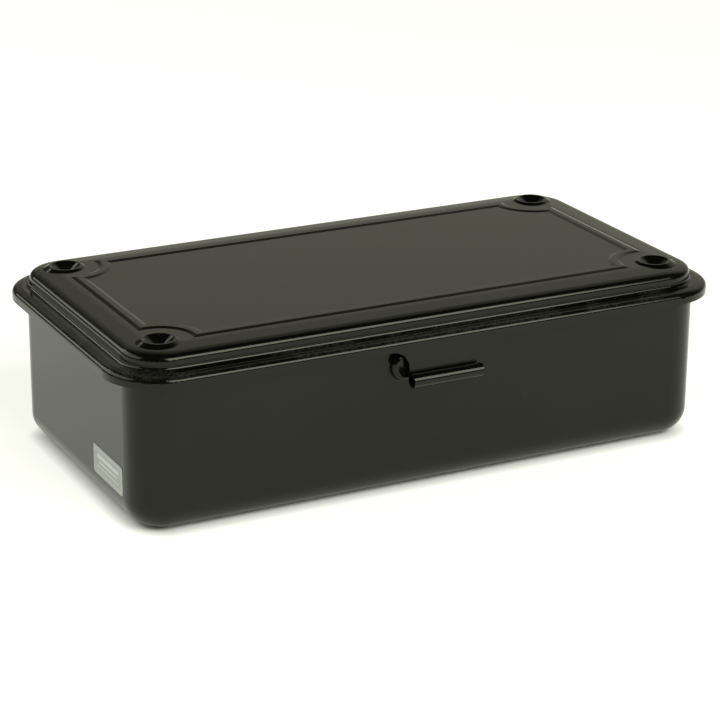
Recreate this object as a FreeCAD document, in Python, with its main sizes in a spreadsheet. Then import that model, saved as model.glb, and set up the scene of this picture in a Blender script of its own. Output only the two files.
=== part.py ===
import FreeCAD, Part

import math
import os

import Sketcher

# A small pressed-steel box, shaped like a trunk: a drawn tub with an outward rim, and a lid whose skirt
# covers that rim. The lid has a raised deck with a beaded panel and four round stacking wells. Its skirt
# runs down into a tongue with a curled end, which snaps over a catch pressed out of the tub's front.
# Two small knuckle hinges join lid and tub at the back. Millimetres, +Z up, +X to the right, +Y to the
# back. The origin is on the ground, under the middle of the lid's flange.

DIMENSIONS = {
    "overall_length": 203.0,     # lid flange, along X
    "overall_depth": 110.0,      # lid flange, along Y
    "flange_corner": 18.5,       # plan radius of the flange's corners
    "plate": 0.7,                # thickness of the steel
    "foot_height": 0.5,          # the tub stands on four pressed feet
    "deck_level": 56.3,          # top of the lid's deck, without bead and collars
    "crown_run": 8.3,            # plan width of the sloped border inside the deck's edge
    "crown_tilt": 6.5,           # its slope, in degrees
    "crown_round": 17.0,         # blend from the flat deck into it
    "brow_run": 2.6,             # a steeper strip along the border's outer side
    "brow_fall": 0.4,            # how much farther than the border it drops
    "brow_round": 9.0,           # blend from the border into it
    "ledge_drop": 5.3,           # deck down to the inner side of the ledge around it
    "ledge_run": 3.0,            # plan width of the ledge's outward slope
    "ledge_tilt": 11.0,          # that slope, in degrees
    "skirt_drop": 9.0,           # deck down to the skirt's lower edge
    "deck_inset": 5.55,          # flange edge to the deck's wall
    "deck_edge": 1.9,            # fillet at the top of the deck's wall
    "ledge_root": 1.2,           # fillet at the foot of the deck's wall
    "shoulder": 1.6,             # fillet between ledge and skirt
    "bead_inset": 17.2,          # flange edge to the bead's centre line
    "bead_half": 2.1,            # half the bead's width at its foot
    "bead_height": 0.36,
    "bead_slope": 74.0,          # slope of the bead's sides, from upright
    "scallop": 12.4,             # radius of the bead's centre line round each well
    "collar_foot": 6.2,          # raised collar round each well
    "collar_crest": 5.2,
    "collar_height": 0.6,
    "collar_round": 0.6,         # fillets beside its crest
    "well_mouth": 4.6,           # radius at the collar's crest
    "well_floor": 1.6,
    "well_depth": 2.1,           # below the collar's crest
    "well_round": 1.8,
    "tub_inset": 5.2,            # flange edge to the tub's wall
    "tub_corner": 11.5,
    "tub_round": 8.0,            # between the tub's walls and its base
    "rim_inset": 1.3,            # flange edge to the tub's rim
    "rim_gap": 0.4,              # air between the rim and the lid's ledge
    "foot_radius": 4.3,
    "tongue_width": 23.4,
    "tongue_root": 5.8,          # concave fillets where the tongue leaves the skirt
    "curl_radius": 2.15,
    "curl_drop": 18.2,           # deck down to the curl's centre
    "curl_opening": 72.0,        # angle between the tongue and the curl's free edge
    "curl_corner": 1.7,          # rounded corners of that edge
    "catch_half": 13.3,          # half the length of the pressed catch
    "catch_shift": -2.7,         # its middle, left of the tongue's middle
    "catch_end": 4.7,            # radius of its ends, half its height
    "catch_drop": 15.0,          # deck down to its centre
    "catch_rise": 3.1,           # how far it stands out of the wall
    "catch_round": 1.7,          # fillet round its face
    "catch_root": 1.2,           # fillet at its foot
    "hinge_spacing": 112.0,
    "hinge_width": 26.0,
    "hinge_middle": 11.0,        # the lid's knuckle, between the tub's two
    "hinge_gap": 0.5,
    "hinge_plate": 0.8,
    "pin_radius": 1.0,
    "pin_clearance": 0.05,
    "pin_drop": 1.4,             # skirt's edge down to the hinge pin
    "leaf_height": 11.0,         # tub leaf on the wall
    "label_length": 23.0,
    "label_height": 9.2,
    "label_film": 0.12,
    "label_round": 1.2,
    "label_forward": 25.7,       # middle of the label, in front of the tub's middle
    "label_level": 13.9,
}

doc = FreeCAD.newDocument("trunk_box")
sheet = doc.addObject("Spreadsheet::Sheet", "Dims")
for row, (alias, number) in enumerate(DIMENSIONS.items(), start=1):
    sheet.set(f"A{row}", alias)
    sheet.set(f"B{row}", str(number))
    sheet.setAlias(f"B{row}", alias)
doc.recompute()


class Size:
    """A length worked out from the sheet: its number now, and the expression that keeps it bound."""

    def __init__(self, number, text):
        self.number = number
        self.text = text

    def combine(self, other, sign, number):
        text = other.text if isinstance(other, Size) else repr(other)
        return Size(number, f"({self.text} {sign} {text})")

    def __add__(self, other):
        return self.combine(other, "+", self.number + plain(other))

    def __sub__(self, other):
        return self.combine(other, "-", self.number - plain(other))

    def __mul__(self, other):
        return self.combine(other, "*", self.number * plain(other))

    def __truediv__(self, other):
        return self.combine(other, "/", self.number / plain(other))


def plain(size):
    """The number of a Size, or of a plain number."""
    return size.number if isinstance(size, Size) else float(size)


DIM = {alias: Size(number, f"Dims.{alias}") for alias, number in DIMENSIONS.items()}
ZERO = Size(0.0, "0")

# How far cutting and joining shapes reach past the faces they work on, and how near the curl's rounded
# corners are cut to the tongue.
OVERLAP = 1.0
LATCH_CLEAR = 0.05

# Sizes that several pieces share.
half_length = DIM["overall_length"] / 2
half_depth = DIM["overall_depth"] / 2
ledge_level = DIM["deck_level"] - DIM["ledge_drop"]
skirt_edge = DIM["deck_level"] - DIM["skirt_drop"]
ledge_slope = math.tan(math.radians(DIMENSIONS["ledge_tilt"]))
ledge_foot = ledge_level - DIM["ledge_run"] * ledge_slope
rim_top = ledge_foot - DIM["plate"] - DIM["rim_gap"]
well_x = half_length - DIM["bead_inset"]
well_y = half_depth - DIM["bead_inset"]
wall_x = half_length - DIM["tub_inset"]
wall_y = half_depth - DIM["tub_inset"]
knuckle = DIM["pin_radius"] + DIM["pin_clearance"] + DIM["hinge_plate"]
pin_y = half_depth + knuckle
pin_z = skirt_edge - DIM["pin_drop"]
curl_y = (half_depth - DIM["plate"] + DIM["curl_radius"]) * -1
curl_z = DIM["deck_level"] - DIM["curl_drop"]


def bind(thing, path, size):
    """Set one property from a Size, and tie it to the sheet."""
    thing.setExpression(path, size.text)


def new_body(label):
    body = doc.addObject("PartDesign::Body", label)
    body.Label = label
    return body


def new_sketch(body, name, plane, level=ZERO):
    """A sketch on one of the body's own origin planes, moved out along the plane's normal to a level."""
    sketch = body.newObject("Sketcher::SketchObject", name)
    datum = [feature for feature in body.Origin.OriginFeatures if feature.Role == plane][0]
    sketch.AttachmentSupport = [(datum, "")]
    sketch.MapMode = "FlatFace"
    bind(sketch, "AttachmentOffset.Base.z", level)
    return sketch


def constrain(sketch, kind, *where):
    """Add a dimension whose last argument is a Size, and bind it. Its sign is put into the points' order."""
    size = where[-1]
    index = sketch.addConstraint(Sketcher.Constraint(kind, *where[:-1], size.number))
    sketch.renameConstraint(index, f"size_{index}")
    bind(sketch, f"Constraints.size_{index}", size)


def corner_outline(sketch, half_x, half_y, centre_x, centre_y, radius, hollow=False):
    """Four straight sides joined by four arcs about (+-centre_x, +-centre_y).

    Round corners bulge outwards. With hollow they are scallops, cut into the outline instead.
    """
    hx, hy, cx, cy = half_x.number, half_y.number, centre_x.number, centre_y.number
    rad = radius.number
    run_x = cx - math.sqrt(rad ** 2 - (hy - cy) ** 2) if hollow else cx
    run_y = cy - math.sqrt(rad ** 2 - (hx - cx) ** 2) if hollow else cy
    sides = [
        ((run_x, hy), (-run_x, hy)),
        ((-hx, run_y), (-hx, -run_y)),
        ((-run_x, -hy), (run_x, -hy)),
        ((hx, -run_y), (hx, run_y)),
    ]
    centres = [(-cx, cy), (-cx, -cy), (cx, -cy), (cx, cy)]
    for start, end in sides:
        sketch.addGeometry(Part.LineSegment(FreeCAD.Vector(*start, 0), FreeCAD.Vector(*end, 0)), False)
    for index, (x, y) in enumerate(centres):
        before = sides[index][1]
        after = sides[(index + 1) % 4][0]
        first = math.atan2(before[1] - y, before[0] - x)
        last = math.atan2(after[1] - y, after[0] - x)
        if hollow:
            first, last = last, first
        if last < first:
            last += 2 * math.pi
        circle = Part.Circle(FreeCAD.Vector(x, y, 0), FreeCAD.Vector(0, 0, 1), rad)
        sketch.addGeometry(Part.ArcOfCircle(circle, first, last), False)
    join = "Coincident" if hollow else "Tangent"
    begin, finish = (2, 1) if hollow else (1, 2)
    for index, (x, y) in enumerate(centres):
        arc = 4 + index
        sketch.addConstraint(Sketcher.Constraint("Horizontal" if index % 2 == 0 else "Vertical", index))
        sketch.addConstraint(Sketcher.Constraint(join, index, 2, arc, begin))
        sketch.addConstraint(Sketcher.Constraint(join, arc, finish, (index + 1) % 4, 1))
        constrain(sketch, "Radius", arc, radius)
        if hollow:
            across = (-1, 1, arc, 3) if x > 0 else (arc, 3, -1, 1)
            along = (-1, 1, arc, 3) if y > 0 else (arc, 3, -1, 1)
            constrain(sketch, "DistanceX", *across, centre_x)
            constrain(sketch, "DistanceY", *along, centre_y)
    constrain(sketch, "DistanceY", -1, 1, 0, 1, half_y)
    constrain(sketch, "DistanceX", 1, 1, -1, 1, half_x)
    constrain(sketch, "DistanceY", 2, 1, -1, 1, half_y)
    constrain(sketch, "DistanceX", -1, 1, 3, 1, half_x)


def rounded(sketch, half_x, half_y, radius):
    corner_outline(sketch, half_x, half_y, half_x - radius, half_y - radius, radius)


def extrude(body, kind, name, sketch, length, reverse=False, taper=0.0, symmetric=False):
    """A Pad or Pocket of a sketch, checked to have changed the body's volume."""
    before = body.Tip.Shape.Volume if body.Tip else 0.0
    feature = body.newObject(f"PartDesign::{kind}", name)
    feature.Profile = sketch
    feature.Reversed = reverse
    if symmetric:
        feature.SideType = "Symmetric"
    feature.TaperAngle = taper
    bind(feature, "Length", length)
    doc.recompute()
    change = feature.Shape.Volume - before
    if change * (1 if kind == "Pad" else -1) <= 0:
        raise ValueError(f"{name} changed nothing")
    return feature


def round_edges(body, name, radius, chosen):
    """Fillet the edges of the body's last feature that a test picks out."""
    base = body.Tip
    edges = [f"Edge{n}" for n, edge in enumerate(base.Shape.Edges, start=1) if chosen(edge)]
    feature = body.newObject("PartDesign::Fillet", name)
    feature.Base = (base, edges)
    bind(feature, "Radius", radius)
    doc.recompute()
    if "Invalid" in feature.State:
        raise ValueError(f"{name} can't be laid on {len(edges)} edges")
    return feature


def slope_edges(body, name, run, fall, chosen):
    """Chamfer a level outline by run across the top and fall down the side, checked by the volume."""
    base = body.Tip
    edges = [f"Edge{n}" for n, edge in enumerate(base.Shape.Edges, start=1) if chosen(edge)]
    length = sum(base.Shape.getElement(edge).Length for edge in edges)
    feature = body.newObject("PartDesign::Chamfer", name)
    feature.Base = (base, edges)
    feature.ChamferType = "Two distances"
    bind(feature, "Size", run)
    bind(feature, "Size2", fall)
    for flipped in (False, True):
        feature.FlipDirection = flipped
        doc.recompute()
        outline = [edge for edge in feature.Shape.Edges if fallen(edge, base, edges, fall)]
        if abs(sum(edge.Length for edge in outline) - length) < 0.01:
            return feature
    raise ValueError(f"{name} can't be laid the right way round")


def fallen(edge, base, edges, fall):
    """Whether an edge is one of the base's chosen edges, moved straight down by fall."""
    for chosen in edges:
        before = base.Shape.getElement(chosen)
        middle = before.valueAt((before.FirstParameter + before.LastParameter) / 2)
        after = edge.valueAt((edge.FirstParameter + edge.LastParameter) / 2)
        if (middle - after - FreeCAD.Vector(0, 0, fall.number)).Length < 0.01:
            return True
    return False


def level_edge(level, inset, corner):
    """Test for the edges of a rounded outline at one level, one inset from the flange's edge."""
    def chosen(edge):
        box = edge.BoundBox
        if abs(box.ZMin - level) > 0.01 or abs(box.ZMax - level) > 0.01:
            return False
        if isinstance(edge.Curve, Part.Circle):
            return abs(edge.Curve.Radius - corner) < 0.01
        middle = edge.valueAt((edge.FirstParameter + edge.LastParameter) / 2)
        out_x = half_length.number - abs(middle.x)
        out_y = half_depth.number - abs(middle.y)
        return abs(min(out_x, out_y) - inset) < 0.01
    return chosen


def ring_at(level):
    """Test for every edge that lies level at one height."""
    def chosen(edge):
        return abs(edge.BoundBox.ZMin - level) < 0.01 and abs(edge.BoundBox.ZMax - level) < 0.01
    return chosen


def ring_edge(level, radius):
    """Test for the full circles of one radius at one level."""
    def chosen(edge):
        if not isinstance(edge.Curve, Part.Circle):
            return False
        return abs(edge.Curve.Radius - radius) < 0.01 and abs(edge.BoundBox.ZMax - level) < 0.01
    return chosen


def cone(body, kind, name, x, y, level, low, high, height):
    """A PartDesign cone standing on a level, with its radii at the bottom and the top."""
    feature = body.newObject(f"PartDesign::{kind}Cone", name)
    datum = [plane for plane in body.Origin.OriginFeatures if plane.Role == "XY_Plane"][0]
    feature.AttachmentSupport = [(datum, "")]
    feature.MapMode = "FlatFace"
    bind(feature, "AttachmentOffset.Base.x", x)
    bind(feature, "AttachmentOffset.Base.y", y)
    bind(feature, "AttachmentOffset.Base.z", level)
    bind(feature, "Radius1", low)
    bind(feature, "Radius2", high)
    bind(feature, "Height", height)
    doc.recompute()
    return feature


def four_corners():
    """Names and signed places of the four wells, and of the four feet below them."""
    for name, sign_x, sign_y in (("bl", -1, 1), ("fl", -1, -1), ("br", 1, 1), ("fr", 1, -1)):
        yield name, well_x * sign_x, well_y * sign_y


def lid_form(label, inside):
    """The lid's outer faces as a solid or, with inside, the same form one plate thickness in."""
    plate = DIM["plate"] * (1 if inside else 0)
    body = new_body(label)
    start = skirt_edge - (OVERLAP if inside else 0.0)
    flange = new_sketch(body, f"{label}_flange", "XY_Plane", start)
    flange_corner = DIM["flange_corner"] - plate
    rounded(flange, half_length - plate, half_depth - plate, flange_corner)
    extrude(body, "Pad", f"{label}_flange_pad", flange, ledge_level - plate - start)

    inset = DIM["deck_inset"] + plate
    deck_corner = DIM["flange_corner"] - inset
    deck = new_sketch(body, f"{label}_deck", "XY_Plane", start)
    rounded(deck, half_length - inset, half_depth - inset, deck_corner)
    top = DIM["deck_level"] - plate
    extrude(body, "Pad", f"{label}_deck_pad", deck, top - start)

    ledge = (ledge_level - plate).number
    run = DIM["ledge_run"] - plate
    fall = run * ledge_slope
    shoulder_edges = level_edge(ledge, plate.number, flange_corner.number)
    slope_edges(body, f"{label}_ledge_slope", run, fall, shoulder_edges)
    crown = DIM["crown_run"] - plate
    drop = crown * math.tan(math.radians(DIMENSIONS["crown_tilt"]))
    deck_edges = level_edge(top.number, inset.number, deck_corner.number)
    slope_edges(body, f"{label}_crown", crown, drop, deck_edges)
    brow_edges = level_edge((top - drop).number, inset.number, deck_corner.number)
    slope_edges(body, f"{label}_brow", DIM["brow_run"], DIM["brow_fall"], brow_edges)
    deck_foot = top - drop - DIM["brow_fall"]

    root_edges = level_edge(ledge, inset.number, deck_corner.number)
    round_edges(body, f"{label}_root", DIM["ledge_root"] + plate, root_edges)
    shoulder_edges = level_edge(ledge - fall.number, plate.number, flange_corner.number)
    round_edges(body, f"{label}_shoulder", DIM["shoulder"] - plate, shoulder_edges)
    crown_edges = level_edge(top.number, (inset + crown).number, (deck_corner - crown).number)
    round_edges(body, f"{label}_crown_round", DIM["crown_round"] - plate, crown_edges)
    brow_level = top - drop + DIM["brow_run"] * math.sin(math.radians(DIMENSIONS["crown_tilt"]))
    round_edges(body, f"{label}_brow_round", DIM["brow_round"] - plate, ring_at(brow_level.number))
    round_edges(body, f"{label}_deck_edge", DIM["deck_edge"] - plate, ring_at(deck_foot.number))

    outer = new_sketch(body, f"{label}_bead_outer", "XY_Plane", top)
    half = DIM["bead_half"]
    corner_outline(outer, well_x + half, well_y + half, well_x, well_y, DIM["scallop"] - half, hollow=True)
    extrude(body, "Pad", f"{label}_bead_pad", outer, DIM["bead_height"], taper=-DIMENSIONS["bead_slope"])
    inner = new_sketch(body, f"{label}_bead_inner", "XY_Plane", top + DIM["bead_height"])
    narrow = half - DIM["bead_height"] * math.tan(math.radians(DIMENSIONS["bead_slope"]))
    bay = DIM["scallop"] + narrow
    corner_outline(inner, well_x - narrow, well_y - narrow, well_x, well_y, bay, hollow=True)
    pocket_name = f"{label}_bead_pocket"
    extrude(body, "Pocket", pocket_name, inner, DIM["bead_height"], taper=-DIMENSIONS["bead_slope"])

    collar = DIM["collar_height"]
    flare = DIM["collar_foot"] - DIM["collar_crest"]
    collar_slope = math.atan2(collar.number, flare.number)
    well_slope = math.atan2(DIMENSIONS["well_depth"], DIMENSIONS["well_mouth"] - DIMENSIONS["well_floor"])
    collar_shift = plate * math.tan(collar_slope / 2)
    well_shift = plate * math.tan(well_slope / 2)
    crest = DIM["collar_crest"] - collar_shift
    floor, mouth = DIM["well_floor"] + well_shift, DIM["well_mouth"] + well_shift
    floor_level = top + collar - DIM["well_depth"]
    for name, x, y in four_corners():
        # The collar's cone starts as far below the deck as its crest lies above it.
        foot = crest + flare * 2
        cone(body, "Additive", f"{label}_collar_{name}", x, y, top - collar, foot, crest, collar * 2)
        cone(body, "Subtractive", f"{label}_well_{name}", x, y, floor_level, floor, mouth, DIM["well_depth"])
    floor_ring = ring_edge(floor_level.number, floor.number)
    round_edges(body, f"{label}_well_round", DIM["well_round"] + plate, floor_ring)
    if not inside:
        for name, radius in (("crest", crest), ("mouth", mouth)):
            rim = ring_edge((top + collar).number, radius.number)
            round_edges(body, f"{label}_{name}_round", DIM["collar_round"], rim)
    return body


def pin_point(sketch, geometry, end, x, y):
    """Hold one end of a piece of sketch geometry at bound distances from the sketch's origin."""
    for kind, axis, size in (("DistanceX", -2, x), ("DistanceY", -1, y)):
        if abs(plain(size)) < 1e-9:
            sketch.addConstraint(Sketcher.Constraint("PointOnObject", geometry, end, axis))
        elif plain(size) > 0:
            constrain(sketch, kind, -1, 1, geometry, end, size)
        else:
            constrain(sketch, kind, geometry, end, -1, 1, size * -1)


def section(body, name, plane, steps, level=ZERO):
    """A closed outline of straight and round steps, each corner held at bound distances.

    A step is (x, y) for a straight side to that corner, or (x, y, centre_x, centre_y, radius, turn) for an
    arc to it. The turn is 1 anticlockwise and -1 clockwise.
    """
    sketch = new_sketch(body, name, plane, level)
    ends = []
    for index, step in enumerate(steps):
        before = steps[index - 1]
        first = FreeCAD.Vector(plain(before[0]), plain(before[1]), 0)
        last = FreeCAD.Vector(plain(step[0]), plain(step[1]), 0)
        if len(step) == 2:
            sketch.addGeometry(Part.LineSegment(first, last), False)
            ends.append((1, 2))
            continue
        centre = FreeCAD.Vector(plain(step[2]), plain(step[3]), 0)
        radius, turn = step[4], step[5]
        from_angle = math.atan2(first.y - centre.y, first.x - centre.x)
        to_angle = math.atan2(last.y - centre.y, last.x - centre.x)
        if turn < 0:
            from_angle, to_angle = to_angle, from_angle
        if to_angle < from_angle:
            to_angle += 2 * math.pi
        circle = Part.Circle(centre, FreeCAD.Vector(0, 0, 1), radius.number)
        sketch.addGeometry(Part.ArcOfCircle(circle, from_angle, to_angle), False)
        ends.append((1, 2) if turn > 0 else (2, 1))
    count = len(steps)
    for index, step in enumerate(steps):
        following = (index + 1) % count
        joined = (index, ends[index][1], following, ends[following][0])
        sketch.addConstraint(Sketcher.Constraint("Coincident", *joined))
        pin_point(sketch, index, ends[index][1], step[0], step[1])
        if len(step) > 2:
            constrain(sketch, "Radius", index, step[4])
    return sketch


def place(body, x=ZERO, y=ZERO, z=ZERO):
    """Move a finished body, bound to the sheet."""
    bind(body, "Placement.Base.x", x)
    bind(body, "Placement.Base.y", y)
    bind(body, "Placement.Base.z", z)


def polar(centre_y, centre_z, radius, degrees):
    """A point on a circle in a section across the box."""
    angle = math.radians(degrees)
    return centre_y + radius * math.cos(angle), centre_z + radius * math.sin(angle)


def latch_form():
    """The skirt's front tongue with concave roots, and the curl rolled outwards from its lower edge."""
    body = new_body("latch_form")
    inner = half_depth * -1 + DIM["plate"]
    outer = half_depth * -1
    top = skirt_edge + OVERLAP
    radius, bore = DIM["curl_radius"], DIM["curl_radius"] - DIM["plate"]
    free_outer = polar(curl_y, curl_z, radius, DIMENSIONS["curl_opening"])
    free_inner = polar(curl_y, curl_z, bore, DIMENSIONS["curl_opening"])
    steps = [
        (outer, top),
        (inner, top),
        (inner, curl_z),
        (*free_outer, curl_y, curl_z, radius, -1),
        free_inner,
        (outer, curl_z, curl_y, curl_z, bore, 1),
    ]
    curl = section(body, "curl_section", "YZ_Plane", steps)
    extrude(body, "Pad", "curl_pad", curl, DIM["tongue_width"], symmetric=True)
    half = DIM["tongue_width"] / 2
    root = DIM["tongue_root"]
    web_foot = skirt_edge - root
    steps = [
        (half * -1 - root, top),
        (half * -1 - root, skirt_edge),
        (half * -1, web_foot, half * -1 - root, web_foot, root, -1),
        (half, web_foot),
        (half + root, skirt_edge, half + root, web_foot, root, -1),
        (half + root, top),
    ]
    web = section(body, "tongue_web", "XZ_Plane", steps, half_depth - DIM["plate"])
    extrude(body, "Pad", "tongue_pad", web, DIM["plate"])

    corner = DIM["curl_corner"]
    back = outer - LATCH_CLEAR
    front = back - corner
    for side, sign in (("left", -1), ("right", 1)):
        tip, start = half * sign, (half - corner) * sign
        steps = [
            (tip + OVERLAP * sign, back),
            (start, back),
            (tip, front, start, front, corner, -sign),
            (tip + OVERLAP * sign, front),
        ]
        cut = section(body, f"curl_corner_{side}", "XY_Plane", steps, curl_z)
        extrude(body, "Pocket", f"curl_corner_{side}_cut", cut, radius * 2, reverse=True)
    return body


def make_lid():
    """The lid, one pressing: outer form less the hollow one plate inside it, with the latch tongue."""
    shell = doc.addObject("Part::Cut", "lid_shell")
    shell.Base = lid_form("lid_skin", False)
    shell.Tool = lid_form("lid_hollow", True)
    lid = doc.addObject("Part::Fuse", "lid")
    lid.Base = shell
    lid.Tool = latch_form()
    doc.recompute()
    return lid


def upright_edge(level_y, half_x):
    """Test for the edges of the catch in one upright plane across Y, no wider than half_x."""
    def chosen(edge):
        box = edge.BoundBox
        flat = abs(box.YMin - level_y) < 0.01 and abs(box.YMax - level_y) < 0.01
        return flat and box.XMax < half_x + 0.5 and box.XMin > -half_x - 0.5
    return chosen


def catch_outline(body, name, level, shrink):
    """Long round-ended outline of the pressed catch, on an upright plane facing the front."""
    sketch = new_sketch(body, name, "XZ_Plane", level)
    bind(sketch, "AttachmentOffset.Base.x", DIM["catch_shift"])
    bind(sketch, "AttachmentOffset.Base.y", DIM["deck_level"] - DIM["catch_drop"])
    half_x = DIM["catch_half"] - shrink
    half_z = DIM["catch_end"] - shrink
    rounded(sketch, half_x, half_z, half_z - 0.1)
    return sketch


def tub_form(label, inside):
    """The tub's outer faces as a solid or, with inside, the hollow one plate thickness in."""
    body = new_body(label)
    plate = DIM["plate"]
    skin = plate if inside else ZERO
    floor = DIM["foot_height"] + skin
    corner = DIM["tub_corner"] - skin
    inset = (DIM["tub_inset"] + skin).number
    walls = new_sketch(body, f"{label}_walls", "XY_Plane", floor)
    rounded(walls, wall_x - skin, wall_y - skin, corner)
    extrude(body, "Pad", f"{label}_walls_pad", walls, rim_top - floor)
    base_edges = level_edge(floor.number, inset, corner.number)
    round_edges(body, f"{label}_base_round", DIM["tub_round"] - skin, base_edges)

    rim = new_sketch(body, f"{label}_rim", "XY_Plane", rim_top)
    rim_corner = DIM["flange_corner"] - DIM["rim_inset"]
    rounded(rim, half_length - DIM["rim_inset"], half_depth - DIM["rim_inset"], rim_corner)
    extrude(body, "Pad", f"{label}_rim_pad", rim, plate, reverse=not inside)
    root_level = rim_top - plate + skin
    root_edges = level_edge(root_level.number, inset, corner.number)
    round_edges(body, f"{label}_rim_root", plate * 1.5 + skin, root_edges)

    catch = catch_outline(body, f"{label}_catch", wall_y - OVERLAP, skin)
    extrude(body, "Pad", f"{label}_catch_pad", catch, DIM["catch_rise"] + OVERLAP - skin)
    half_x = DIMENSIONS["catch_half"] + abs(DIMENSIONS["catch_shift"])
    face_edges = upright_edge(-(wall_y + DIM["catch_rise"] - skin).number, half_x)
    round_edges(body, f"{label}_catch_face", DIM["catch_round"] - skin, face_edges)
    if not inside:
        round_edges(body, f"{label}_catch_root", DIM["catch_root"], upright_edge(-wall_y.number, half_x))

    high = DIM["foot_radius"] - skin / 2
    for name, x, y in four_corners():
        low = high - DIM["foot_height"]
        cone(body, "Additive", f"{label}_foot_{name}", x, y, skin, low, high, DIM["foot_height"])
    return body


def make_tub():
    """The drawn tub: round-cornered walls, outward rim, four feet and the catch, all of one plate."""
    tub = doc.addObject("Part::Cut", "tub")
    tub.Base = tub_form("tub_skin", False)
    tub.Tool = tub_form("tub_hollow", True)
    doc.recompute()
    return tub


def hinge_tub_leaf(label, x):
    """Leaf on the tub's back wall, bent out under the rim and rolled round the pin at both sides."""
    body = new_body(label)
    plate = DIM["hinge_plate"]
    bore = DIM["pin_radius"]
    outer = bore + plate
    run_top = pin_z - bore
    run_foot = run_top - plate
    leaf_foot = run_top - DIM["leaf_height"]
    free_inner = polar(pin_y, pin_z, bore, 190)
    free_outer = polar(pin_y, pin_z, outer, 190)
    steps = [
        (wall_y, leaf_foot),
        (wall_y, run_top),
        (pin_y, run_top),
        (*free_inner, pin_y, pin_z, bore, 1),
        free_outer,
        (pin_y, run_foot, pin_y, pin_z, outer, -1),
        (wall_y + plate, run_foot),
        (wall_y + plate, leaf_foot),
    ]
    side = section(body, f"{label}_section", "YZ_Plane", steps)
    extrude(body, "Pad", f"{label}_pad", side, DIM["hinge_width"], symmetric=True)
    half = DIM["hinge_middle"] / 2 + DIM["hinge_gap"]
    front = pin_y - knuckle - DIM["hinge_gap"]
    back = pin_y + knuckle + DIM["hinge_gap"]
    steps = [(half * -1, front), (half, front), (half, back), (half * -1, back)]
    gap = section(body, f"{label}_gap", "XY_Plane", steps, leaf_foot)
    extrude(body, "Pocket", f"{label}_gap_pocket", gap, DIM["leaf_height"] * 2, reverse=True)
    place(body, x)
    return body


def hinge_lid_leaf(label, x):
    """Leaf formed over the skirt's shoulder, narrowed to one knuckle that runs on the pin."""
    body = new_body(label)
    plate = DIM["hinge_plate"]
    bore = DIM["pin_radius"] + DIM["pin_clearance"]
    tilt = DIMENSIONS["ledge_tilt"]
    steep = math.radians(tilt)
    shoulder = DIM["shoulder"]
    turn_y = half_depth - shoulder
    turn_z = ledge_foot + shoulder * (ledge_slope - 1 / math.cos(steep))
    edge_y = half_depth - DIM["ledge_run"]
    edge_z = ledge_level
    free_outer = polar(pin_y, pin_z, knuckle, 110)
    free_inner = polar(pin_y, pin_z, bore, 110)
    steps = [
        (half_depth, pin_z),
        (*free_outer, pin_y, pin_z, knuckle, 1),
        free_inner,
        (half_depth + plate, pin_z, pin_y, pin_z, bore, -1),
        (half_depth + plate, turn_z),
        (*polar(turn_y, turn_z, shoulder + plate, 90 - tilt), turn_y, turn_z, shoulder + plate, 1),
        (edge_y + plate * math.sin(steep), edge_z + plate * math.cos(steep)),
        (edge_y, edge_z),
        polar(turn_y, turn_z, shoulder, 90 - tilt),
        (half_depth, turn_z, turn_y, turn_z, shoulder, -1),
    ]
    side = section(body, f"{label}_section", "YZ_Plane", steps)
    extrude(body, "Pad", f"{label}_pad", side, DIM["hinge_width"], symmetric=True)
    inner = DIM["hinge_middle"] / 2
    outer = DIM["hinge_width"] / 2 + OVERLAP
    low = pin_z - knuckle - OVERLAP
    high = pin_z + knuckle + DIM["hinge_gap"]
    for name, sign in (("left", -1), ("right", 1)):
        steps = [(inner * sign, low), (outer * sign, low), (outer * sign, high), (inner * sign, high)]
        notch = section(body, f"{label}_notch_{name}", "XZ_Plane", steps, half_depth * -1 + OVERLAP)
        extrude(body, "Pocket", f"{label}_notch_{name}_pocket", notch, knuckle * 4, reverse=False)
    place(body, x)
    return body


def hinge_pin(label, x):
    """Plain wire pin, gripped by the tub leaf's two knuckles."""
    pin = doc.addObject("Part::Cylinder", label)
    bind(pin, "Radius", DIM["pin_radius"])
    bind(pin, "Height", DIM["hinge_width"])
    pin.Placement.Rotation = FreeCAD.Rotation(FreeCAD.Vector(0, 1, 0), 90)
    place(pin, x - DIM["hinge_width"] / 2, pin_y, pin_z)
    return pin


def make_label():
    """Thin foil label on the left wall."""
    body = new_body("label_plate")
    film = new_sketch(body, "label_outline", "YZ_Plane")
    rounded(film, DIM["label_length"] / 2, DIM["label_height"] / 2, DIM["label_round"])
    extrude(body, "Pad", "label_pad", film, DIM["label_film"], reverse=True)
    place(body, wall_x * -1, DIM["label_forward"] * -1, DIM["label_level"])
    return body


def make_all():
    """Every piece of the box, by node name."""
    nodes = {"tub": make_tub(), "lid": make_lid(), "label_plate": make_label()}
    for side, sign in (("left", -1), ("right", 1)):
        x = DIM["hinge_spacing"] / 2 * sign
        nodes[f"hinge_leaf_tub_{side}"] = hinge_tub_leaf(f"hinge_leaf_tub_{side}", x)
        nodes[f"hinge_leaf_lid_{side}"] = hinge_lid_leaf(f"hinge_leaf_lid_{side}", x)
        nodes[f"hinge_pin_{side}"] = hinge_pin(f"hinge_pin_{side}", x)
    doc.recompute()
    return nodes


def check(nodes):
    """Stop if any object failed to compute or any piece isn't one valid solid."""
    failed = [thing.Name for thing in doc.Objects if "Invalid" in thing.State or "Error" in thing.State]
    if failed:
        raise ValueError(f"not computed: {failed}")
    for name, piece in nodes.items():
        shape = piece.Shape
        if shape.isNull() or not shape.isValid() or len(shape.Solids) != 1:
            raise ValueError(f"{name} is not one valid solid")
        box = shape.optimalBoundingBox(True, False)
        low = [round(value, 2) for value in (box.XMin, box.YMin, box.ZMin)]
        high = [round(value, 2) for value in (box.XMax, box.YMax, box.ZMax)]
        print(f"{name}: {round(shape.Volume, 1)} mm3, {low} to {high}")


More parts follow.
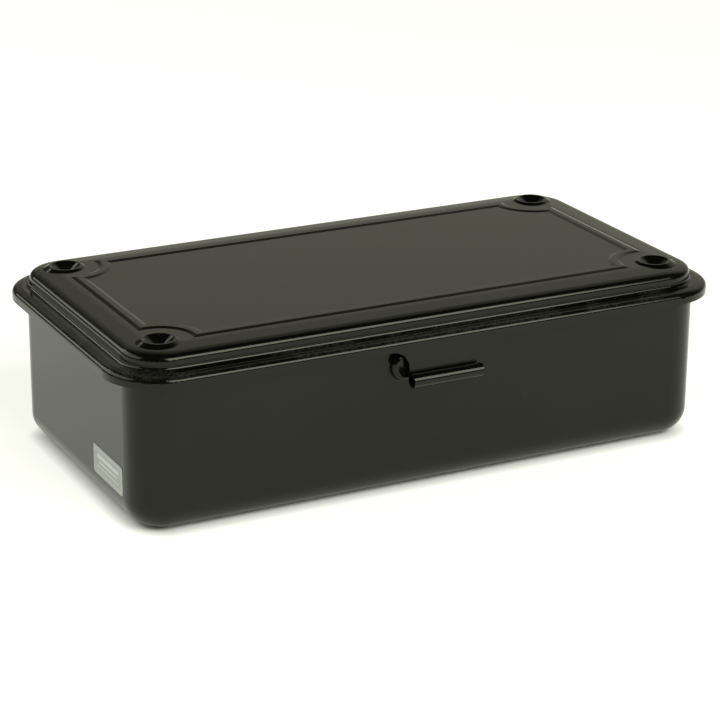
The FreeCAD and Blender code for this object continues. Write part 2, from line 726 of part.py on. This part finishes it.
pieces = make_all()
check(pieces)
os.makedirs("parts", exist_ok=True)
for node_name, node in pieces.items():
    node.Label = node_name
    node.Shape.exportStep(f"parts/{node_name}.step")
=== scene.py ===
"""A pressed steel lunch box in near-black olive enamel, on a white studio floor."""
import math

import bpy
from mathutils import Matrix, Vector


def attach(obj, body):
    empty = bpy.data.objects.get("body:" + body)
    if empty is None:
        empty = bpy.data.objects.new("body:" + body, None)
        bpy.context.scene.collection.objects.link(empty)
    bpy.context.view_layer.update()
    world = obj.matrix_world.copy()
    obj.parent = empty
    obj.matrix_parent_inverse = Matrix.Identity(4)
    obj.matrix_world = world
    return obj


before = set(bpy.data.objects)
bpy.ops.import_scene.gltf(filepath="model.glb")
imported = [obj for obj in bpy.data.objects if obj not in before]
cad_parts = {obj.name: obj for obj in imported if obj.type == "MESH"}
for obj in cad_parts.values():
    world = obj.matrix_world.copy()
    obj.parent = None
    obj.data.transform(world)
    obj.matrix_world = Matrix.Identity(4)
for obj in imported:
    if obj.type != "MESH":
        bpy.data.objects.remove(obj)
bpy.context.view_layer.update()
scene = bpy.context.scene
MM = 0.001

# ---------------------------------------------------------------- camera
AZIMUTH, ELEVATION, ROLL = math.radians(-26.444), math.radians(20.074), math.radians(0.176)
CAMERA_DISTANCE = 0.7902
LENS, SENSOR = 124.45, 36.0
LENS_SHIFT = (0.0374, -0.0040)
AIM_LEVEL, AIM_RIGHT, AIM_UP = 0.0283, -0.00865, -0.00286


def make_camera():
    """A long lens from the front left, aimed near the middle of the box."""
    back = Vector((
        math.sin(AZIMUTH) * math.cos(ELEVATION),
        -math.cos(AZIMUTH) * math.cos(ELEVATION),
        math.sin(ELEVATION),
    ))
    right = Vector((0, 0, 1)).cross(back).normalized()
    up = back.cross(right)
    aim = Vector((0, 0, AIM_LEVEL)) + right * AIM_RIGHT + up * AIM_UP
    rolled_right = right * math.cos(ROLL) + up * math.sin(ROLL)
    rolled_up = up * math.cos(ROLL) - right * math.sin(ROLL)
    camera = bpy.data.objects.new("camera", bpy.data.cameras.new("camera"))
    scene.collection.objects.link(camera)
    turn = Matrix((rolled_right, rolled_up, back)).transposed().to_4x4()
    camera.matrix_world = Matrix.Translation(aim + back * CAMERA_DISTANCE) @ turn
    camera.data.lens = LENS
    camera.data.sensor_width = SENSOR
    camera.data.shift_x, camera.data.shift_y = LENS_SHIFT
    camera.data.clip_start, camera.data.clip_end = 0.05, 20.0
    scene.camera = camera


make_camera()

# ---------------------------------------------------------------- studio
WARM = (0.97, 1.0, 0.88)
SOFTBOX_DISTANCE = 1.5
SOFTBOX_AIM = (0, 0, 0.04)


def area_light(name, place, target, width, height, power, colour):
    """A rectangular light at a place, facing a target."""
    data = bpy.data.lights.new(name, "AREA")
    data.shape = "RECTANGLE"
    data.size, data.size_y = width, height
    data.energy = power
    data.color = colour
    light = bpy.data.objects.new(name, data)
    light.location = place
    light.rotation_mode = "QUATERNION"
    light.rotation_quaternion = (Vector(target) - Vector(place)).to_track_quat("-Z", "Y")
    scene.collection.objects.link(light)


def softbox(name, azimuth, elevation, width, height, radiance):
    """A warm softbox aimed at the box. The azimuth runs clockwise from the back, in degrees."""
    turn, rise = math.radians(azimuth), math.radians(elevation)
    flat = math.cos(rise) * SOFTBOX_DISTANCE
    place = (math.sin(turn) * flat, math.cos(turn) * flat, math.sin(rise) * SOFTBOX_DISTANCE)
    area_light(name, place, SOFTBOX_AIM, width, height, radiance * math.pi * width * height, WARM)


softbox("softbox_front", 166, 34, 1.15, 0.82, 7.2)
softbox("softbox_left", -59, 31, 2.2, 0.85, 2.3)


# The backdrop's brightness by the sine of the elevation, and its blue against its red and green.
BACKDROP = (
    (0.0, 0.45), (0.28, 0.45), (0.34, 0.47), (0.45, 0.56), (0.54, 0.54), (0.63, 0.36),
    (0.71, 0.24), (0.77, 0.02), (0.82, 0.0),
)
BACKDROP_BLUE = 0.80
# Along each axis, where the backdrop starts and is full, and its least strength.
BACKDROP_SIDES = (("Y", -0.1, 0.3, 0.0), ("X", 0.08, 0.32, 0.2))


def make_world():
    """Studio walls: a lit backdrop behind the box on its right, dark above it and towards the camera."""
    world = bpy.data.worlds.new("studio")
    scene.world = world
    world.use_nodes = True
    nodes, links = world.node_tree.nodes, world.node_tree.links
    nodes.clear()
    out = nodes.new("ShaderNodeOutputWorld")
    back = nodes.new("ShaderNodeBackground")
    coord = nodes.new("ShaderNodeTexCoord")
    split = nodes.new("ShaderNodeSeparateXYZ")
    ramp = nodes.new("ShaderNodeValToRGB")
    links.new(coord.outputs["Generated"], split.inputs[0])
    links.new(split.outputs["Z"], ramp.inputs[0])
    strength = None
    for axis, start, end, least in BACKDROP_SIDES:
        side = nodes.new("ShaderNodeMapRange")
        links.new(split.outputs[axis], side.inputs["Value"])
        for name, value in (("From Min", start), ("From Max", end), ("To Min", least), ("To Max", 1.0)):
            side.inputs[name].default_value = value
        if strength:
            both = nodes.new("ShaderNodeMath")
            both.operation = "MULTIPLY"
            links.new(strength, both.inputs[0])
            links.new(side.outputs[0], both.inputs[1])
            strength = both.outputs[0]
        else:
            strength = side.outputs[0]
    links.new(ramp.outputs[0], back.inputs[0])
    links.new(strength, back.inputs[1])
    links.new(back.outputs[0], out.inputs[0])
    stops = ramp.color_ramp.elements
    for index, (height, level) in enumerate(BACKDROP):
        stop = stops[index] if index < 2 else stops.new(height)
        stop.position = height
        stop.color = (level, level, level * BACKDROP_BLUE, 1)


make_world()


# ---------------------------------------------------------------- materials
class Graph:
    """A material's node tree, with short calls for the nodes this script uses."""

    def __init__(self, name):
        self.material = bpy.data.materials.new(name)
        self.material.use_nodes = True
        self.tree = self.material.node_tree
        self.shader = self.tree.nodes["Principled BSDF"]
        coords = self.tree.nodes.new("ShaderNodeTexCoord")
        self.place = coords.outputs["Object"]
        geometry = self.tree.nodes.new("ShaderNodeNewGeometry")
        self.normal = geometry.outputs["Normal"]

    def feed(self, socket, value):
        """Link a socket to another, or set it to a plain value."""
        if isinstance(value, bpy.types.NodeSocket):
            self.tree.links.new(value, socket)
        else:
            socket.default_value = value

    def node(self, kind, **inputs):
        """A node with its inputs linked or set by name."""
        made = self.tree.nodes.new(kind)
        for name, value in inputs.items():
            self.feed(made.inputs[name.replace("_", " ")], value)
        return made

    def math(self, operation, first, second=0.0, third=0.0):
        made = self.tree.nodes.new("ShaderNodeMath")
        made.operation = operation
        for socket, value in zip(made.inputs, (first, second, third)):
            self.feed(socket, value)
        return made.outputs[0]

    def noise(self, size, detail=2.0, roughness=0.5, seed=0.0, stretch=(1, 1, 1)):
        """Noise whose features are about size metres across, from 0 to 1."""
        shift = (seed, seed * 0.7, seed * 0.3)
        moved = self.node("ShaderNodeMapping", Vector=self.place, Location=shift, Scale=stretch)
        kind, scale = "ShaderNodeTexNoise", 0.5 / size
        made = self.node(kind, Vector=moved.outputs[0], Scale=scale, Detail=detail, Roughness=roughness)
        return made.outputs["Fac"]

    def specks(self, spacing, reach, share, seed=0.0):
        """Round specks: one cell in every spacing metres, of radius reach, kept in a share of the cells."""
        moved = self.node("ShaderNodeMapping", Vector=self.place, Location=(seed, seed, seed))
        cells = self.node("ShaderNodeTexVoronoi", Vector=moved.outputs[0], Scale=1.0 / spacing)
        near = self.ramp(cells.outputs["Distance"], reach / spacing, reach / spacing * 0.5)
        tone = self.node("ShaderNodeSeparateColor", Color=cells.outputs["Color"])
        kept = self.math("LESS_THAN", tone.outputs[0], share)
        return self.math("MULTIPLY", near, kept)

    def ramp(self, value, start, end):
        """0 at start and 1 at end, straight between them and level beyond."""
        made = self.node("ShaderNodeMapRange", Value=value, From_Min=start, From_Max=end)
        return made.outputs["Result"]

    def blend(self, factor, first, second):
        """Colours mixed by factor."""
        made = self.tree.nodes.new("ShaderNodeMix")
        made.data_type = "RGBA"
        for name, value in (("Factor", factor), ("A", first), ("B", second)):
            self.feed(next(each for each in made.inputs if each.name == name and each.enabled), value)
        return next(each for each in made.outputs if each.enabled)

    def bump(self, heights):
        """Bumps laid over each other: pairs of a height from 0 to 1 and its depth in metres."""
        normal = None
        for height, depth in heights:
            made = self.node("ShaderNodeBump", Height=height, Distance=depth)
            if normal is not None:
                self.tree.links.new(normal, made.inputs["Normal"])
            normal = made.outputs[0]
        self.tree.links.new(normal, self.shader.inputs["Normal"])

    def finish(self, **inputs):
        """Link or set the shader's own inputs, and give back the material."""
        for name, value in inputs.items():
            self.feed(self.shader.inputs[name.replace("_", " ")], value)
        return self.material


FLOOR_HALF = 4.0
PAPER = (0.78, 0.78, 0.78, 1)
PAPER_GLOW, PAPER_GLOW_COLOUR = 0.67, (1.0, 1.0, 0.93, 1)
# The glow is masked inside a rectangle of these half sides, and returns between these distances from it: a
# painted contact shadow round the box's foot.
SHADOW_MASK_HALVES = (("X", 0.085), ("Y", 0.038))
SHADOW_MASK_START, SHADOW_MASK_END = 0.006, 0.013


def make_floor():
    """White paper, lit and glowing. Its glow is masked off under and just round the box: a painted contact
    shadow.
    """
    mesh = bpy.data.meshes.new("floor")
    half = FLOOR_HALF
    corners = [(-half, -half, 0), (half, -half, 0), (half, half, 0), (-half, half, 0)]
    mesh.from_pydata(corners, [], [(0, 1, 2, 3)])
    floor = bpy.data.objects.new("floor", mesh)
    scene.collection.objects.link(floor)
    graph = Graph("floor_paper")
    split = graph.node("ShaderNodeSeparateXYZ", Vector=graph.place)
    over = []
    for axis, reach in SHADOW_MASK_HALVES:
        beyond = graph.math("SUBTRACT", graph.math("ABSOLUTE", split.outputs[axis]), reach)
        over.append(graph.math("MAXIMUM", beyond, 0.0))
    away = graph.math("SQRT", graph.math("ADD", *[graph.math("MULTIPLY", each, each) for each in over]))
    # The glow fades out near the box, which paints a soft contact shadow on the floor.
    glow = graph.math("MULTIPLY", graph.ramp(away, SHADOW_MASK_START, SHADOW_MASK_END), PAPER_GLOW)
    mesh.materials.append(graph.finish(
        Base_Color=PAPER, Roughness=0.8, Emission_Color=PAPER_GLOW_COLOUR, Emission_Strength=glow
    ))


make_floor()


OLIVE_BLACK = (0.0036, 0.0037, 0.0026, 1)
OLIVE_DEEP = (0.0022, 0.0023, 0.0016, 1)
DUST = (0.30, 0.30, 0.27, 1)
BARE_STEEL = (0.42, 0.42, 0.39, 1)
# The ledge round the lid's deck, where dust gathers: its soft lower edge and its soft upper edge.
LEDGE_FOOT, LEDGE_TOP = (0.0490, 0.0500), (0.0522, 0.0514)


def enamel(name, worn=0.0):
    """Baked enamel: near-black olive, fine orange peel, slight waves of the sheet, and dust."""
    graph = Graph(name)
    cloud = graph.noise(0.02, detail=3.0, seed=1.3)
    colour = graph.blend(graph.ramp(cloud, 0.35, 0.65), OLIVE_DEEP, OLIVE_BLACK)
    upward = graph.ramp(graph.node("ShaderNodeSeparateXYZ", Vector=graph.normal).outputs["Z"], 0.3, 0.95)
    level = graph.node("ShaderNodeSeparateXYZ", Vector=graph.place).outputs["Z"]
    in_ledge = graph.math("MULTIPLY", graph.ramp(level, *LEDGE_FOOT), graph.ramp(level, *LEDGE_TOP))
    in_ledge = graph.math("MULTIPLY", in_ledge, upward)
    fine = graph.specks(0.0022, 0.00009, 0.05, seed=0.4)
    coarse = graph.specks(0.009, 0.00016, 0.10, seed=2.1)
    settled = graph.math("MULTIPLY", graph.specks(0.0011, 0.00010, 0.16, seed=5.2), upward)
    dust = graph.math("MAXIMUM", graph.math("MAXIMUM", fine, coarse), graph.math("MULTIPLY", settled, 0.5))
    colour = graph.blend(graph.math("MULTIPLY", dust, 0.55), colour, DUST)
    grains = graph.ramp(graph.noise(0.0005, detail=4.0, roughness=0.7, seed=6.1), 0.40, 0.66)
    wiped = graph.ramp(graph.noise(0.007, detail=2.0, seed=9.4), 0.44, 0.52)
    film = graph.math("MULTIPLY", graph.math("MULTIPLY", grains, wiped), in_ledge)
    colour = graph.blend(graph.math("MULTIPLY", film, 0.08), colour, DUST)
    if worn:
        scuffs = graph.ramp(graph.noise(0.0012, detail=4.0, seed=3.7), 0.62 - worn * 0.1, 0.70)
        colour = graph.blend(graph.math("MULTIPLY", scuffs, worn), colour, BARE_STEEL)
    haze = graph.noise(0.012, detail=4.0, roughness=0.6, seed=4.0)
    roughness = graph.ramp(haze, 0.2, 0.8)
    roughness = graph.math("MULTIPLY_ADD", roughness, 0.06, 0.10)
    roughness = graph.math("MULTIPLY_ADD", dust, 0.4, roughness)
    graph.bump((
        (graph.noise(0.045, detail=1.0, seed=7.0), 0.00011),
        (graph.noise(0.0011, detail=1.0, seed=8.0), 0.0000016),
        (dust, 0.00002),
    ))
    return graph.finish(Base_Color=colour, Roughness=roughness, IOR=1.33, Specular_Tint=(1.0, 1.02, 0.88, 1))


def band(graph, value, middle, half):
    """1 where a value lies within half of the middle, with an edge a tenth of a millimetre soft."""
    away = graph.math("ABSOLUTE", graph.math("SUBTRACT", value, middle))
    return graph.ramp(away, half + 0.00005, half - 0.00005)


# The foil label's middle, and the half sides of the frame printed on it.
LABEL_FORWARD, LABEL_LEVEL = 0.0257, 0.0139
FRAME_ALONG, FRAME_RISE, FRAME_LINE = 0.0105, 0.0037, 0.0002
# The printed bars: level from the label's middle, half height and half length.
BARS = ((0.0016, 0.00060, 0.0085), (-0.0002, 0.00030, 0.0070), (-0.0018, 0.00018, 0.0085))


def rectangle(graph, along, rise, half_along, half_rise):
    """1 inside a rectangle round the label's middle."""
    return graph.math("MULTIPLY", band(graph, along, 0.0, half_along), band(graph, rise, 0.0, half_rise))


def printed_foil(name):
    """Brushed grey foil with a fine frame and plain bars printed on it."""
    graph = Graph(name)
    split = graph.node("ShaderNodeSeparateXYZ", Vector=graph.place)
    along = graph.math("ADD", split.outputs["Y"], LABEL_FORWARD)
    rise = graph.math("SUBTRACT", split.outputs["Z"], LABEL_LEVEL)
    outer = rectangle(graph, along, rise, FRAME_ALONG, FRAME_RISE)
    inner = rectangle(graph, along, rise, FRAME_ALONG - FRAME_LINE, FRAME_RISE - FRAME_LINE)
    ink = graph.math("SUBTRACT", outer, inner)
    for level, half, reach in BARS:
        bar = graph.math("MULTIPLY", band(graph, rise, level, half), band(graph, along, 0.0, reach))
        ink = graph.math("MAXIMUM", ink, bar)
    brushed = graph.noise(0.0002, detail=3.0, seed=2.0, stretch=(1, 0.05, 1))
    ground = graph.blend(brushed, (0.27, 0.28, 0.27, 1), (0.34, 0.35, 0.33, 1))
    tone = graph.blend(graph.math("MULTIPLY", ink, 0.8), ground, (0.56, 0.57, 0.55, 1))
    graph.bump(((brushed, 0.000006),))
    return graph.finish(Base_Color=tone, Roughness=0.45, Metallic=0.2)


def drawn_wire(name):
    """Bare drawn steel wire, with fine rings round it."""
    graph = Graph(name)
    rings = graph.noise(0.00025, detail=2.0, stretch=(1, 0.1, 0.1))
    tone = graph.blend(rings, (0.42, 0.41, 0.39, 1), (0.62, 0.61, 0.58, 1))
    graph.bump(((rings, 0.000004),))
    roughness = graph.math("MULTIPLY_ADD", graph.noise(0.002), 0.2, 0.22)
    return graph.finish(Base_Color=tone, Roughness=roughness, Metallic=1.0)


def dress(node, material):
    """Give a CAD node one material."""
    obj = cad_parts[node]
    obj.data.materials.clear()
    obj.data.materials.append(material)


box_enamel = enamel("box_enamel")
hinge_enamel = enamel("hinge_enamel", worn=0.15)
wire = drawn_wire("drawn_wire")
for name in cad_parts:
    dress(name, box_enamel)
for side in ("left", "right"):
    dress(f"hinge_leaf_tub_{side}", hinge_enamel)
    dress(f"hinge_leaf_lid_{side}", hinge_enamel)
    dress(f"hinge_pin_{side}", wire)
dress("label_plate", printed_foil("printed_foil"))


# ---------------------------------------------------------------- the skirt's hem, in millimetres
HALF_LENGTH, HALF_DEPTH, CORNER = 101.5, 55.0, 18.5
SKIRT_EDGE, TONGUE_ROOT = 47.3, 17.5
HEM_RADIUS, HEM_STEPS = 0.13, 16
# Each corner's signs, and the angle at which the hem enters it.
HEM_CORNERS = ((-1, -1, 270), (-1, 1, 180), (1, 1, 90), (1, -1, 0))


def hem_path():
    """The skirt's lower edge, from one side of the tongue right round to the other."""
    for sign_x, sign_y, start in HEM_CORNERS:
        for step in range(HEM_STEPS + 1):
            angle = math.radians(start - 90 * step / HEM_STEPS)
            x = (HALF_LENGTH - CORNER) * sign_x + (CORNER - HEM_RADIUS) * math.cos(angle)
            y = (HALF_DEPTH - CORNER) * sign_y + (CORNER - HEM_RADIUS) * math.sin(angle)
            yield x, y


def make_hem():
    """The dulled cut edge of the skirt, a fine round line that catches the light."""
    front = -HALF_DEPTH + HEM_RADIUS
    points = [(-TONGUE_ROOT, front), *hem_path(), (TONGUE_ROOT, front)]
    data = bpy.data.curves.new("skirt_hem", "CURVE")
    data.dimensions = "3D"
    data.bevel_depth = HEM_RADIUS * MM
    data.bevel_resolution = 3
    line = data.splines.new("POLY")
    line.points.add(len(points) - 1)
    for point, (x, y) in zip(line.points, points):
        point.co = (x * MM, y * MM, (SKIRT_EDGE + HEM_RADIUS) * MM, 1)
    hem = bpy.data.objects.new("skirt_hem", data)
    scene.collection.objects.link(hem)
    data.materials.append(enamel("hem_enamel", worn=0.5))
    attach(hem, "lid")


make_hem()

scene.view_settings.view_transform = "Standard"
